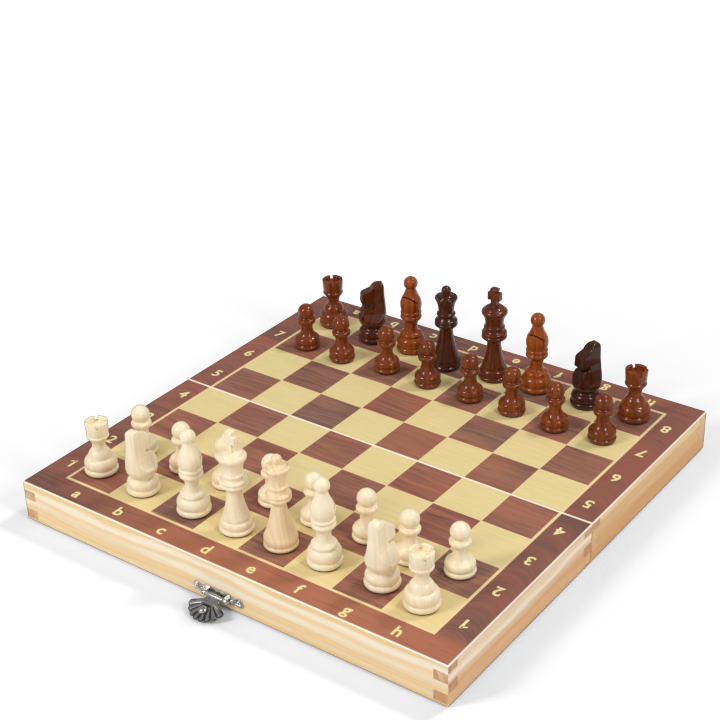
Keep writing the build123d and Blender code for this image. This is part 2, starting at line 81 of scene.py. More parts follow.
# Turned men, in millimetres
felt = 0.8
felt_inset = 0.7
lathe_sides = 64
corner_ease = 0.22
on_axis = 1e-6

# The camera that took the photo, solved from the corners of the playing field
camera_place = (0.46493, -0.63442, 0.51177)
camera_target = (-0.06850, 0.08073, 0.0255)
camera_roll = -1.678
camera_lens = 77.976


def srgb(red, green, blue):
    """A colour picked as 0 to 255 values, as the linear colour a shader takes."""
    def linear(value):
        share = value / 255
        return share / 12.92 if share < 0.04045 else ((share + 0.055) / 1.055) ** 2.4
    return (linear(red), linear(green), linear(blue), 1.0)


# Stage
def look_at(thing, place, target, roll=0):
    aim = (Vector(target) - Vector(place)).to_track_quat("-Z", "Y")
    thing.rotation_mode = "QUATERNION"
    thing.rotation_quaternion = aim @ Quaternion((0, 0, 1), radians(roll))
    thing.location = place


def add_camera():
    camera = bpy.data.objects.new("photo_camera", bpy.data.cameras.new("photo_camera"))
    bpy.context.scene.collection.objects.link(camera)
    camera.data.lens = camera_lens
    camera.data.clip_start = 0.01
    look_at(camera, camera_place, camera_target, camera_roll)
    bpy.context.scene.camera = camera


def add_lamp(name, place, size, power, target=(0, 0, 0.02)):
    data = bpy.data.lights.new(name, "AREA")
    data.shape = "RECTANGLE"
    data.size, data.size_y = size
    data.energy = power
    lamp = bpy.data.objects.new(name, data)
    bpy.context.scene.collection.objects.link(lamp)
    look_at(lamp, place, target)


def add_world(sky_strength, mirrored_strength):
    """Soft light from all round, white where the camera or a mirror sees past the object."""
    world = bpy.data.worlds.new("studio")
    world.use_nodes = True
    bpy.context.scene.world = world
    tree = world.node_tree
    tree.nodes.clear()
    soft = tree.nodes.new("ShaderNodeBackground")
    soft.inputs["Strength"].default_value = sky_strength
    mirrored = tree.nodes.new("ShaderNodeBackground")
    mirrored.inputs["Strength"].default_value = mirrored_strength
    white = tree.nodes.new("ShaderNodeBackground")
    for background in (soft, mirrored, white):
        background.inputs["Color"].default_value = (1, 1, 1, 1)
    path = tree.nodes.new("ShaderNodeLightPath")
    last = soft.outputs[0]
    sights = (("Is Glossy Ray", mirrored), ("Is Transmission Ray", white), ("Is Camera Ray", white))
    for sight, background in sights:
        mix = tree.nodes.new("ShaderNodeMixShader")
        tree.links.new(path.outputs[sight], mix.inputs[0])
        tree.links.new(last, mix.inputs[1])
        tree.links.new(background.outputs[0], mix.inputs[2])
        last = mix.outputs[0]
    output = tree.nodes.new("ShaderNodeOutputWorld")
    tree.links.new(last, output.inputs[0])


# Materials
class Surface:
    """A material's nodes, with one short call for each kind of step."""

    def __init__(self, name):
        self.material = bpy.data.materials.new(name)
        self.material.use_nodes = True
        self.tree = self.material.node_tree
        self.tree.nodes.clear()
        self.shader = self.add("BsdfPrincipled")
        output = self.add("OutputMaterial")
        self.tree.links.new(self.shader.outputs[0], output.inputs[0])
        self.place = self.add("TexCoord").outputs

    def add(self, kind, **settings):
        node = self.tree.nodes.new("ShaderNode" + kind)
        for key, value in settings.items():
            setattr(node, key, value)
        return node

    def feed(self, socket, value):
        if isinstance(value, bpy.types.NodeSocket):
            self.tree.links.new(value, socket)
        else:
            socket.default_value = value

    def math(self, operation, *values):
        node = self.add("Math", operation=operation)
        for socket, value in zip(node.inputs, values):
            self.feed(socket, value)
        return node.outputs[0]

    def times(self, value, factor):
        return self.math("MULTIPLY", value, factor)

    def plus(self, value, other):
        return self.math("ADD", value, other)

    def minus(self, value, other):
        return self.math("SUBTRACT", value, other)

    def split(self, vector):
        node = self.add("SeparateXYZ")
        self.feed(node.inputs[0], vector)
        return tuple(node.outputs)

    def join(self, *values):
        node = self.add("CombineXYZ")
        for socket, value in zip(node.inputs, values):
            self.feed(socket, value)
        return node.outputs[0]

    def scaled(self, *sizes):
        """The place on the object, its coordinates multiplied by one number for all or by one each."""
        if len(sizes) == 1:
            sizes *= 3
        values = self.split(self.place["Object"])
        return self.join(*(self.times(value, size) for value, size in zip(values, sizes)))

    def noise(self, vector, seed=0.0, detail=2.0, rough=0.5):
        node = self.add("TexNoise", noise_dimensions="4D")
        settings = {"Vector": vector, "W": seed, "Scale": 1.0, "Detail": detail, "Roughness": rough}
        for key, value in settings.items():
            self.feed(node.inputs[key], value)
        return node.outputs[0]

    def line_noise(self, value, detail=1.0):
        node = self.add("TexNoise", noise_dimensions="1D")
        for key, setting in (("W", value), ("Scale", 1.0), ("Detail", detail)):
            self.feed(node.inputs[key], setting)
        return node.outputs[0]

    def random(self, *values):
        """A steady random value for each set of three whole numbers."""
        node = self.add("TexWhiteNoise", noise_dimensions="3D")
        self.feed(node.inputs["Vector"], self.join(*values))
        return node.outputs["Value"]

    def ramp(self, value, low, high, start=0.0, end=1.0):
        """A value that goes from start to end as another goes from low to high."""
        node = self.add("MapRange", interpolation_type="SMOOTHSTEP")
        for socket, setting in zip(node.inputs, (value, low, high, start, end)):
            self.feed(socket, setting)
        return node.outputs[0]

    def mix(self, share, first, second):
        node = self.add("Mix", data_type="RGBA")
        for socket, value in ((node.inputs[0], share), (node.inputs[6], first), (node.inputs[7], second)):
            self.feed(socket, value)
        return node.outputs[2]

    def darken(self, colour, share):
        node = self.add("VectorMath", operation="SCALE")
        self.feed(node.inputs[0], colour)
        self.feed(node.inputs["Scale"], share)
        return node.outputs[0]

    def bump(self, height, distance, strength=0.5):
        node = self.add("Bump")
        node.inputs["Strength"].default_value = strength
        node.inputs["Distance"].default_value = distance
        self.feed(node.inputs["Height"], height)
        self.feed(self.shader.inputs["Normal"], node.outputs[0])

    def finish(self, colour, roughness, **fixed):
        """Sets the shader's own sockets; a colour or roughness may come from nodes, the rest are numbers."""
        self.feed(self.shader.inputs["Base Color"], colour)
        self.feed(self.shader.inputs["Roughness"], roughness)
        for key, value in fixed.items():
            self.shader.inputs[key.replace("_", " ")].default_value = value
        return self.material


def wood(s, along, spacing, wander, seed, pith=(0.034, 0.052)):
    """Growth rings about a pith line, 0 in early wood and 1 in late wood, and the fibre along the grain."""
    values = dict(zip("XYZ", s.split(s.place["Object"])))
    length = values.pop(along)
    first, second = (s.plus(value, offset) for value, offset in zip(values.values(), pith))
    slow = s.join(s.times(length, 11), s.times(first, 45), s.times(second, 45))
    drift = s.times(s.noise(slow, seed), wander)
    reach = s.math("SQRT", s.plus(s.times(first, first), s.times(second, second)))
    turns = s.math("DIVIDE", s.plus(reach, drift), spacing)
    rings = s.ramp(s.line_noise(s.plus(turns, seed * 7.3)), 0.34, 0.68)
    fibre = s.noise(s.join(s.times(length, 70), s.times(first, 2600), s.times(second, 2600)), seed)
    return rings, fibre


def pine(name, along, pale, honey, low_band, seed):
    """Bare pine with darker end grain.

    low_band is the colour of the wider heartwood streak low on the wall.
    """
    s = Surface(name)
    x, y, z = s.split(s.place["Object"])
    rings, fibre = wood(s, along, 3.4 * mm, 7 * mm, seed)
    length = x if along == "X" else y
    height = s.plus(z, s.times(s.noise(s.join(s.times(length, 9), seed, 0)), 9 * mm))
    band = s.times(s.ramp(height, 20 * mm, 13 * mm), 0.85)
    colour = s.mix(band, s.mix(s.times(rings, 0.9), pale, honey), s.mix(rings, low_band, honey))
    normal = dict(zip("XYZ", s.split(s.place["Normal"])))
    cut_end = s.ramp(s.math("ABSOLUTE", normal[along]), 0.75, 0.85)
    speck = s.noise(s.scaled(900), seed, 3)
    patch = s.noise(s.scaled(55), seed + 3, 0)
    end_colour = s.mix(s.ramp(speck, 0.35, 0.7), srgb(206, 156, 112), srgb(176, 120, 80))
    end_share = s.times(cut_end, s.ramp(patch, 0.3, 0.62, 1.0, 0.55))
    colour = s.mix(end_share, colour, end_colour)
    # Painted highlight: the upward-facing chamfers of the top edges are lightened towards white.
    painted_arris_highlight = s.times(s.ramp(normal["Z"], 0.25, 0.4), s.ramp(normal["Z"], 0.97, 0.9))
    colour = s.mix(s.times(painted_arris_highlight, 0.8), colour, srgb(252, 244, 230))
    tone = s.ramp(fibre, 0.3, 0.7, 1.03, 0.96)
    s.bump(fibre, 0.06 * mm, 0.35)
    return s.finish(s.darken(colour, tone), s.ramp(fibre, 0.3, 0.7, 0.42, 0.55), Specular_IOR_Level=0.35)


def veneer(s, length, across, seed):
    """The printed rosewood figure: its broad bands, thin dark streaks and redder patches, each 0 to 1."""
    sway = s.noise(s.join(s.times(length, 26), s.times(across, 52), 0), seed, 2)
    side = s.plus(across, s.times(sway, 9 * mm))
    bands = s.noise(s.join(s.times(length, 18), s.times(side, 420), 0), seed, 5, 0.62)
    streaks = s.noise(s.join(s.times(length, 40), s.times(side, 1100), 0), seed, 3)
    patches = s.noise(s.join(s.times(length, 24), s.times(across, 40), 5), seed, 1)
    return s.ramp(bands, 0.35, 0.65), s.ramp(streaks, 0.58, 0.72), s.ramp(patches, 0.38, 0.62)


def board_print():
    """Squares, string line and border, all worked out from the place on the board."""
    s = Surface("board_print")
    x, y, _ = s.split(s.place["Object"])
    column = s.math("FLOOR", s.math("DIVIDE", x, square))
    row = s.math("FLOOR", s.math("DIVIDE", y, square))
    parity = s.math("MODULO", s.math("ABSOLUTE", s.plus(column, row)), 2)
    reach = s.math("MAXIMUM", s.math("ABSOLUTE", x), s.math("ABSOLUTE", y))
    offset_x = s.times(s.math("FRACT", s.math("DIVIDE", x, square)), square)
    offset_y = s.times(s.math("FRACT", s.math("DIVIDE", y, square)), square)
    inside = s.math("MINIMUM", s.math("MINIMUM", offset_x, s.minus(square, offset_x)),
                    s.math("MINIMUM", offset_y, s.minus(square, offset_y)))
    whole = s.math("GREATER_THAN", inside, square_inset)
    dark = s.times(s.math("LESS_THAN", parity, 0.5), whole)
    dark = s.times(dark, s.math("LESS_THAN", reach, field_half))

    chance = s.random(column, row, 1.0)
    other = s.random(column, row, 2.0)
    seed = s.times(s.random(column, row, 3.0), 90)
    bands, streaks, patches = veneer(s, x, y, seed)
    ground = s.mix(chance, srgb(148, 112, 94), srgb(164, 106, 84))
    shade = s.mix(chance, srgb(116, 84, 74), srgb(134, 82, 68))
    brown = s.mix(bands, ground, shade)
    brown = s.mix(s.times(patches, s.times(other, 0.5)), brown, srgb(174, 108, 80))
    brown = s.mix(s.times(streaks, 0.75), brown, srgb(88, 62, 62))

    grain = s.noise(s.join(s.times(x, 40), s.times(y, 500), 0), seed, 2)
    maple = s.mix(s.ramp(grain, 0.3, 0.7), srgb(230, 210, 152), srgb(226, 204, 144))
    string = s.math("MAXIMUM", s.minus(1.0, whole), s.math("GREATER_THAN", reach, field_half))
    field = s.mix(dark, s.mix(string, maple, srgb(238, 208, 156)), brown)

    # Border veneer: patches that change along the sides, with arched figure there
    patch = s.plus(s.math("FLOOR", s.math("DIVIDE", s.plus(y, patch_start), patch_length)),
                   s.times(s.math("GREATER_THAN", y, 0), 3))
    end_border = s.math("GREATER_THAN", s.math("ABSOLUTE", y), field_half + string_width)
    side = s.math("GREATER_THAN", x, 0)
    patch_seed = s.times(s.random(patch, end_border, side), 70)
    off_line = s.minus(s.math("ABSOLUTE", x), border_middle)
    arch = s.times(s.times(off_line, off_line), arch_bend)
    arch_share = s.minus(1.0, end_border)
    border_y = s.plus(y, s.times(arch, arch_share))
    bands, streaks, patches = veneer(s, s.times(x, 0.8), border_y, patch_seed)
    bands = s.times(bands, s.ramp(arch_share, 0, 1, 1.0, 0.6))
    greyer = s.ramp(s.random(patch, side, 7.0), 0.2, 0.8)
    ground = s.mix(greyer, srgb(154, 98, 80), srgb(134, 90, 76))
    shade = s.mix(greyer, srgb(126, 78, 68), srgb(102, 72, 68))
    # Painted shade: the border's ground is darkened towards the back and right, the side turned from the
    # lamps.
    painted_shade_share = s.times(s.ramp(x, -0.05, 0.13), s.ramp(y, -0.06, 0.02))
    ground = s.darken(ground, s.ramp(painted_shade_share, 0, 1, 1.0, 0.82))
    border = s.mix(bands, ground, shade)
    # Painted light: the front border is lightened to a warm orange, fading out towards its left end.
    painted_light_pool = s.times(s.ramp(y, -0.118, -0.134), s.ramp(x, -0.12, -0.02))
    border = s.mix(s.times(painted_light_pool, 0.7), border, srgb(188, 116, 84))
    border = s.mix(s.times(patches, 0.3), border, srgb(168, 98, 76))
    border = s.mix(s.times(streaks, 0.7), border, srgb(96, 64, 64))

    colour = s.mix(s.math("GREATER_THAN", reach, field_half + string_width), field, border)
    lines = s.noise(s.join(s.times(x, 90), s.times(y, 3000), 0), 4.0, 2)
    s.bump(lines, 0.02 * mm, 0.25)
    tone = s.ramp(lines, 0.3, 0.7, 1.03, 0.96)
    return s.finish(s.darken(colour, tone), s.ramp(lines, 0.3, 0.7, 0.42, 0.52), Specular_IOR_Level=0.3)


def gilt_ink():
    s = Surface("gilt_ink")
    spots = s.noise(s.scaled(1400), 2.0, 3)
    colour = s.mix(s.ramp(spots, 0.35, 0.65), srgb(246, 234, 176), srgb(228, 208, 138))
    return s.finish(colour, s.ramp(spots, 0.3, 0.7, 0.4, 0.55), Specular_IOR_Level=0.3)


def pale_wood(name, seed, warmth):
    """Bare boxwood-coloured men under a thin satin varnish."""
    s = Surface(name)
    rings, fibre = wood(s, "Z", 2.2 * mm, 5 * mm, seed)
    ground = s.mix(warmth, srgb(253, 241, 213), srgb(248, 220, 178))
    streak = s.mix(warmth, srgb(244, 224, 182), srgb(228, 190, 142))
    colour = s.mix(s.times(rings, 0.45), ground, streak)
    s.bump(fibre, 0.03 * mm, 0.2)
    tone = s.ramp(fibre, 0.3, 0.7, 1.02, 0.96)
    return s.finish(s.darken(colour, tone), s.ramp(fibre, 0.3, 0.7, 0.34, 0.44), Specular_IOR_Level=0.35,
                    Coat_Weight=0.15, Coat_Roughness=0.2)


def dark_wood(name, seed, redness):
    """Stained men under a glossy varnish."""
    s = Surface(name)
    rings, fibre = wood(s, "Z", 1.9 * mm, 6 * mm, seed)
    ground = s.mix(redness, srgb(66, 25, 12), srgb(172, 84, 20))
    streak = s.mix(redness, srgb(46, 17, 10), srgb(128, 52, 10))
    colour = s.mix(s.times(rings, 0.7), ground, streak)
    tone = s.ramp(fibre, 0.3, 0.7, 1.06, 0.92)
    return s.finish(s.darken(colour, tone), s.ramp(fibre, 0.3, 0.7, 0.3, 0.38), Specular_IOR_Level=0.15,
                    Coat_Weight=0.55, Coat_Roughness=0.06)


def flock():
    """Black flocked cloth."""
    s = Surface("black_flock")
    fuzz = s.noise(s.scaled(2600), 1.0, 4)
    nap = s.noise(s.scaled(60), 1.5, 2)
    colour = s.mix(s.ramp(nap, 0.35, 0.65), srgb(26, 26, 28), srgb(38, 38, 40))
    s.bump(fuzz, 0.25 * mm, 0.8)
    return s.finish(s.darken(colour, s.ramp(fuzz, 0.3, 0.7, 0.8, 1.25)), 0.95, Sheen_Weight=0.25,
                    Specular_IOR_Level=0.1)


def steel(name, bright, dull, roughness, hollow=None):
    """Nickelled sheet; hollow is a share from 0 to 1 where its colour is darkened towards a dark grey."""
    s = Surface(name)
    clouds = s.noise(s.scaled(420), 3.0, 3)
    scratch = s.noise(s.scaled(500, 500, 5200), 5.0, 2)
    colour = s.mix(s.ramp(clouds, 0.35, 0.68), bright, dull)
    if hollow:
        colour = s.mix(s.times(hollow(s), 0.92), colour, srgb(58, 58, 60))
    s.bump(scratch, 0.03 * mm, 0.25)
    return s.finish(colour, s.ramp(clouds, 0.3, 0.7, roughness, roughness + 0.14), Metallic=1.0)


def panel_wood():
    """Pale plywood of the deck panel, seen only where the case is taken apart."""
    s = Surface("deck_board")
    rings, fibre = wood(s, "X", 1.2 * mm, 4 * mm, 8.0)
    colour = s.mix(rings, srgb(226, 200, 156), srgb(208, 176, 128))
    s.bump(fibre, 0.05 * mm, 0.3)
    return s.finish(colour, 0.6, Specular_IOR_Level=0.3)


# Meshes
def mesh_of(name, vertices, faces, sharp=32):
    mesh = bpy.data.meshes.new(name)
    mesh.from_pydata(vertices, [], faces)
    work = bmesh.new()
    work.from_mesh(mesh)
    bmesh.ops.recalc_face_normals(work, faces=work.faces)
    work.to_mesh(mesh)
    work.free()
    return smoothed(mesh, sharp)


def smoothed(mesh, sharp=32):
    mesh.shade_smooth()
    mesh.set_sharp_from_angle(angle=radians(sharp))
    return mesh


def piece(name, mesh, body, material, replaces=(), place=None):
    """Adds a mesh that rides a body of the model."""
    thing = bpy.data.objects.new(name, mesh)
    bpy.context.scene.collection.objects.link(thing)
    mesh.materials.clear()
    mesh.materials.append(material)
    if place is not None:
        thing.matrix_world = place
    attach(thing, body)
    if replaces:
        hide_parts(*replaces)
    return thing


def evaluated(mesh, kind, **settings):
    """A mesh after one modifier."""
    thing = bpy.data.objects.new("work", mesh)
    bpy.context.scene.collection.objects.link(thing)
    modifier = thing.modifiers.new("work", kind)
    for key, value in settings.items():
        setattr(modifier, key, value)
    graph = bpy.context.evaluated_depsgraph_get()
    result = bpy.data.meshes.new_from_object(thing.evaluated_get(graph))
    bpy.data.objects.remove(thing)
    return result


def combined(mesh, tool, operation):
    """The first mesh with the second one cut off it, joined to it or kept in common."""
    cutter = bpy.data.objects.new("cutter", tool)
    bpy.context.scene.collection.objects.link(cutter)
    result = evaluated(mesh, "BOOLEAN", operation=operation, solver="EXACT", object=cutter)
    bpy.data.objects.remove(cutter)
    return result


def lathe(name, points, sides=lathe_sides, sharp=32):
    """Turns (radius, height) points about the Z axis, on which the first and last of them lie."""
    vertices = []
    rings = []
    for radius, height in points:
        count = 1 if radius < on_axis else sides
        rings.append(range(len(vertices), len(vertices) + count))
        turns = [tau * n / sides for n in range(count)]
        vertices += [(radius * cos(turn), radius * sin(turn), height) for turn in turns]
    faces = []
    for low, high in zip(rings, rings[1:]):
        for n in range(sides):
            after = (n + 1) % sides
            corners = [low[n % len(low)], low[after % len(low)], high[after % len(high)], high[n % len(high)]]
            faces.append(tuple(dict.fromkeys(corners)))
    return mesh_of(name, vertices, [face for face in faces if len(face) > 2], sharp)


def bar(x_range, y_range, z_range):
    """A block between the given low and high values, as a tool to cut with."""
    vertices = [(x, y, z) for z in z_range for y in y_range for x in x_range]
    faces = [(0, 2, 3, 1), (4, 5, 7, 6), (0, 1, 5, 4), (2, 6, 7, 3), (0, 4, 6, 2), (1, 3, 7, 5)]
    return mesh_of("bar", vertices, faces)


def turned_tool(mesh, *steps):
    """A cutting tool after some moves, given as matrices from the last to the first."""
    whole = Matrix.Identity(4)
    for step in steps:
        whole = whole @ step
    mesh.transform(whole)
    return mesh


def prism(points, half, along):
    """A prism of a drawn outline, centred on the plane that it is drawn on."""
    order = {"X": (2, 0, 1), "Y": (0, 2, 1), "Z": (0, 1, 2)}[along]
    count = len(points)
    vertices = [tuple((a, b, c)[axis] for axis in order) for c in (-half, half) for a, b in points]
    faces = [tuple(range(count)), tuple(reversed(range(count, 2 * count)))]
    faces += [(n, n + count, (n + 1) % count + count, (n + 1) % count) for n in range(count)]
    return mesh_of("prism", vertices, faces)


def arc(start, through, end, steps):
    """Points after start on the arc to end by way of a middle point."""
    (ax, ay), (bx, by), (cx, cy) = start, through, end
    spread = 2 * (ax * (by - cy) + bx * (cy - ay) + cx * (ay - by))
    a, b, c = (x * x + y * y for x, y in (start, through, end))
    x = (a * (by - cy) + b * (cy - ay) + c * (ay - by)) / spread
    y = (a * (cx - bx) + b * (ax - cx) + c * (bx - ax)) / spread
    radius = hypot(ax - x, ay - y)
    first, middle, last = (atan2(q - y, p - x) for p, q in (start, through, end))
    turn = (last - first) % tau
    if (middle - first) % tau > turn:
        turn -= tau
    return [(x + radius * cos(first + turn * n / steps), y + radius * sin(first + turn * n / steps))
            for n in range(1, steps + 1)]


def eased(points, ease=corner_ease, least_turn=18):
    """An outline with its corners rounded off."""
    result = [tuple(points[0])]
    for before, corner, after in zip(points, points[1:], points[2:]):
        corner = Vector(corner)
        into = corner - Vector(before)
        out = Vector(after) - corner
        if into.length < on_axis or out.length < on_axis:
            continue
        if into.angle(out) < radians(least_turn):
            result.append(tuple(corner))
            continue
        step = min(ease, 0.4 * into.length, 0.4 * out.length)
        first = corner - into.normalized() * step
        last = corner + out.normalized() * step
        result += [tuple(first), tuple((first + 2 * corner + last) / 4), tuple(last)]
    return result + [tuple(points[-1])]


# Men
# A move is (r, z) for a straight cut, (r_mid, z_mid, r, z) for an arc or (z,) for a ball up to the axis.
moves = {
    "pawn": [
        (7.9, 0), (8.6, 1.2, 8.0, 2.5), (7.6, 2.8), (8.3, 4.8, 7.4, 7.3), (4.8, 9.9, 3.8, 13.4),
        (4.1, 16.6), (5.3, 17.1, 5.9, 18.5), (5.8, 19.8, 4.5, 20.5), (4.0, 21.1), (30.2,),
    ],
    "rook": [
        (9.3, 0), (9.9, 1.5, 9.3, 3.0), (8.9, 3.3), (9.6, 5.8, 7.9, 9.4), (7.0, 9.7),
        (6.5, 12.0, 4.7, 14.6), (4.0, 16.2, 3.8, 18.2), (4.3, 20.0), (5.4, 21.6, 6.1, 22.6),
        (6.5, 23.4, 6.2, 24.2), (5.9, 24.6), (6.2, 25.0), (6.7, 32.6), (4.7, 32.6), (4.5, 29.6), (0, 29.4),
    ],
    "bishop": [
        (9.1, 0), (9.8, 1.6, 9.1, 3.2), (8.6, 3.5), (9.4, 6.0, 7.6, 9.8), (7.0, 10.2),
        (7.3, 11.5, 6.2, 13.0), (4.9, 14.0), (4.0, 17.4, 4.4, 20.8), (6.0, 22.7), (6.8, 24.1, 5.9, 25.5),
        (5.7, 25.9), (6.7, 27.2, 5.8, 28.4), (6.8, 33.0, 5.2, 38.4), (3.8, 41.4, 2.9, 44.4), (52.0,),
    ],
    "queen": [
        (9.0, 0), (9.6, 1.1, 9.1, 2.2), (8.9, 2.5), (9.4, 4.8, 8.6, 7.6), (5.7, 16.8, 4.0, 26.2),
        (4.7, 27.4), (6.2, 29.2), (7.2, 30.4, 6.6, 31.5), (7.1, 32.5, 6.0, 33.6), (4.9, 35.4),
        (5.0, 36.2), (5.8, 37.3, 4.9, 38.5), (4.8, 39.6), (5.3, 43.8, 6.8, 47.6), (7.0, 48.8, 6.2, 49.6),
        (5.4, 48.8), (4.2, 50.2, 2.3, 50.8), (1.9, 51.2), (56.4,),
    ],
    "king": [
        (9.3, 0), (9.9, 1.1, 9.3, 2.2), (8.6, 2.5), (9.1, 4.6, 8.0, 6.8), (7.6, 7.1), (7.7, 8.4),
        (5.4, 16.2, 4.1, 24.2), (4.8, 25.8), (6.8, 27.8), (7.9, 29.0, 7.2, 30.2), (7.8, 31.2, 6.4, 32.6),
        (5.6, 34.0), (6.5, 35.3, 5.7, 36.6), (5.6, 37.6), (6.2, 42.0, 7.8, 45.0), (7.9, 46.6, 6.6, 47.8),
        (5.2, 49.2, 3.0, 49.6), (0, 49.6),
    ],
    "knight_foot": [
        (9.1, 0), (9.8, 1.5, 9.1, 3.0), (8.5, 3.3), (9.2, 5.6, 7.7, 8.4), (6.7, 9.4, 6.5, 10.2), (0, 10.2),
    ],
    "knight_blank": [
        (6.5, 0), (6.5, 9.9), (8.6, 12.8, 9.0, 16.8), (8.7, 23.2, 8.0, 30.2), (7.6, 41.2), (0, 41.2),
    ],
}
drawn_heights = {"pawn": 30.2, "rook": 32.6, "bishop": 52.0, "queen": 56.4, "king": 61.7, "knight": 41.2}
bases = {"pawn": 16.8, "rook": 19.6, "bishop": 19.2, "queen": 19.2, "king": 19.6, "knight": 19.2}
ball_steps = 14
arc_steps = 8

# Cuts in the men, in millimetres, and the places that are shares of a man's height or base
rook_notch_half = 1.1
rook_notch_depth = 2.6
rook_notch_angles = (45, 135)
slit_half = 0.45
slit_angle = -51
slit_height_share = 0.67
slit_depth_share = 0.07
scallops = 8
scallop_radius = 0.8
scallop_start = 4.9
scallop_height_share = 0.885
cross_foot_share = 0.785
cross_arm_share = 0.62
cross_arm_half_share = 0.17
cross_reach = 4.0
cross_thickness_half = 2.1
cross_ease = 0.45
knight_voxel = 0.28
past = 12


def ball_middle(start, top):
    """The halfway point of a ball's outline from a point up to its top on the axis."""
    r, z = start
    centre = (top ** 2 - z ** 2 - r ** 2) / (2 * (top - z))
    angle = atan2(r, z - centre) / 2
    return ((top - centre) * sin(angle), centre + (top - centre) * cos(angle))


def turned(name, drawn_height, height):
    """A turned shape standing on its felt, its height stretched from the drawn one to the made one."""
    tall = (height - felt) / drawn_height
    at = (0, felt)
    points = [at]
    for move in moves[name]:
        end = (0 if len(move) == 1 else move[-2], felt + move[-1] * tall)
        if len(move) == 1:
            points += arc(at, ball_middle(at, end[1]), end, ball_steps)
        elif len(move) == 2:
            points.append(end)
        else:
            points += arc(at, (move[0], felt + move[1] * tall), end, arc_steps)
        at = end
    return lathe(name, eased(points))


def rook_mesh(height):
    body = turned("rook", drawn_heights["rook"], height)
    heights = (height - rook_notch_depth, height + past)
    for angle in rook_notch_angles:
        notch = bar((-past, past), (-rook_notch_half, rook_notch_half), heights)
        body = combined(body, turned_tool(notch, Matrix.Rotation(radians(angle), 4, "Z")), "DIFFERENCE")
    return body


def bishop_mesh(height):
    base = bases["bishop"]
    slit = bar((-base, base), (-base, 0), (-slit_half, slit_half))
    place = Matrix.Translation((0, -slit_depth_share * base, slit_height_share * height))
    tool = turned_tool(slit, place, Matrix.Rotation(radians(slit_angle), 4, "X"))
    return combined(turned("bishop", drawn_heights["bishop"], height), tool, "DIFFERENCE")


def queen_mesh(height):
    body = turned("queen", drawn_heights["queen"], height)
    outline = [(0, scallop_start), (scallop_radius, scallop_start), (scallop_radius, past), (0, past)]
    for number in range(scallops):
        turn = Matrix.Rotation((number + 0.5) * tau / scallops, 4, "Z")
        lift = Matrix.Translation((0, 0, scallop_height_share * height))
        cut = turned_tool(lathe("cut", outline, 24), turn, lift, Matrix.Rotation(pi / 2, 4, "Y"))
        body = combined(body, cut, "DIFFERENCE")
    return body


def rounded_cross(height):
    """The king's cross: a short stem and arms that flare a little, with softened edges."""
    foot = cross_foot_share * height
    arm = foot + cross_arm_share * (height - foot)
    half = cross_arm_half_share * (height - foot)
    right = [
        (2.4, height), (1.7, arm + half), (cross_reach, arm + 1.15 * half), (cross_reach, arm - 1.15 * half),
        (1.7, arm - half), (2.0, foot),
    ]
    left = [(-x, z) for x, z in reversed(right)]
    cross = prism(left + right, cross_thickness_half, "Y")
    return evaluated(cross, "BEVEL", width=cross_ease, segments=3, limit_method="ANGLE",
                     angle_limit=radians(40))


def king_mesh(height):
    return combined(turned("king", drawn_heights["king"], height), rounded_cross(height), "UNION")


def knight_mesh(height):
    """A turned foot under a head that flat cuts shape from a turned blank; it looks along -Y."""
    drawn = drawn_heights["knight"]
    tall = (height - felt) / drawn

    def placed(points):
        return [(a, felt + b * tall) for a, b in points]

    side = placed([
        (-9.5, 9.7), (-9.5, 15.6), (-5.8, 24.2), (-1.4, 25.0), (-0.8, 26.8), (-6.6, 26.4), (-7.8, 28.4),
        (-7.4, 33.4), (-6.0, 34.6), (-1.0, 36.6), (0.4, 38.8), (2.4, 40.6), (4.8, 41.2), (6.4, 40.6),
        (7.2, 39.2), (7.6, 37.2), (9.5, 16.2), (9.5, 9.7),
    ])
    front = placed([
        (-9.5, 9.7), (-9.5, 15.2), (-7.4, 17.0), (-5.4, 20.0), (-4.2, 23.6), (-3.7, 27.2), (-3.4, 38.4),
        (-2.7, 40.2), (-1.2, 41.2), (1.2, 41.2), (2.7, 40.2), (3.4, 38.4), (3.7, 27.2), (4.2, 23.6),
        (5.4, 20.0), (7.4, 17.0), (9.5, 15.2), (9.5, 9.7),
    ])
    head = turned("knight_blank", drawn, height)
    head = combined(head, prism(side, 19, "X"), "INTERSECT")
    head = combined(head, prism(front, 19, "Y"), "INTERSECT")
    head = evaluated(head, "REMESH", mode="VOXEL", voxel_size=knight_voxel)
    head = evaluated(head, "SMOOTH", factor=0.5, iterations=6)
    foot = turned("knight_foot", drawn, height)
    return combined(foot, head, "UNION")


def man_meshes():
    """One mesh of each kind, in millimetres about its own foot, its height as the model has it."""
    builders = {"rook": rook_mesh, "bishop": bishop_mesh, "queen": queen_mesh, "king": king_mesh,
                "knight": knight_mesh}
    meshes = {}
    for name in men:
        kind = name.split("_")[1]
        if kind not in meshes:
            low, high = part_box(name)
            height = (high.z - low.z) / mm
            build = builders.get(kind)
            mesh = build(height) if build else turned(kind, drawn_heights[kind], height)
            mesh.transform(Matrix.Scale(mm, 4))
            meshes[kind] = smoothed(mesh, 30)
    return meshes


# How red each black man is stained and how warm each white one is, from 0 to 1; the rest follow their number
redness = {"bishop": 0.8, "pawn": 0.4, "rook": 0.36, "knight": 0.02, "queen": 0.02, "king": 0.16}
warm_men = {"white_queen": 0.9, "white_bishop_f": 0.1}
looks_aside = {"black_knight_b": -45, "black_knight_g": -20}
men = [name for name in nodes if name.startswith(("white_", "black_"))]


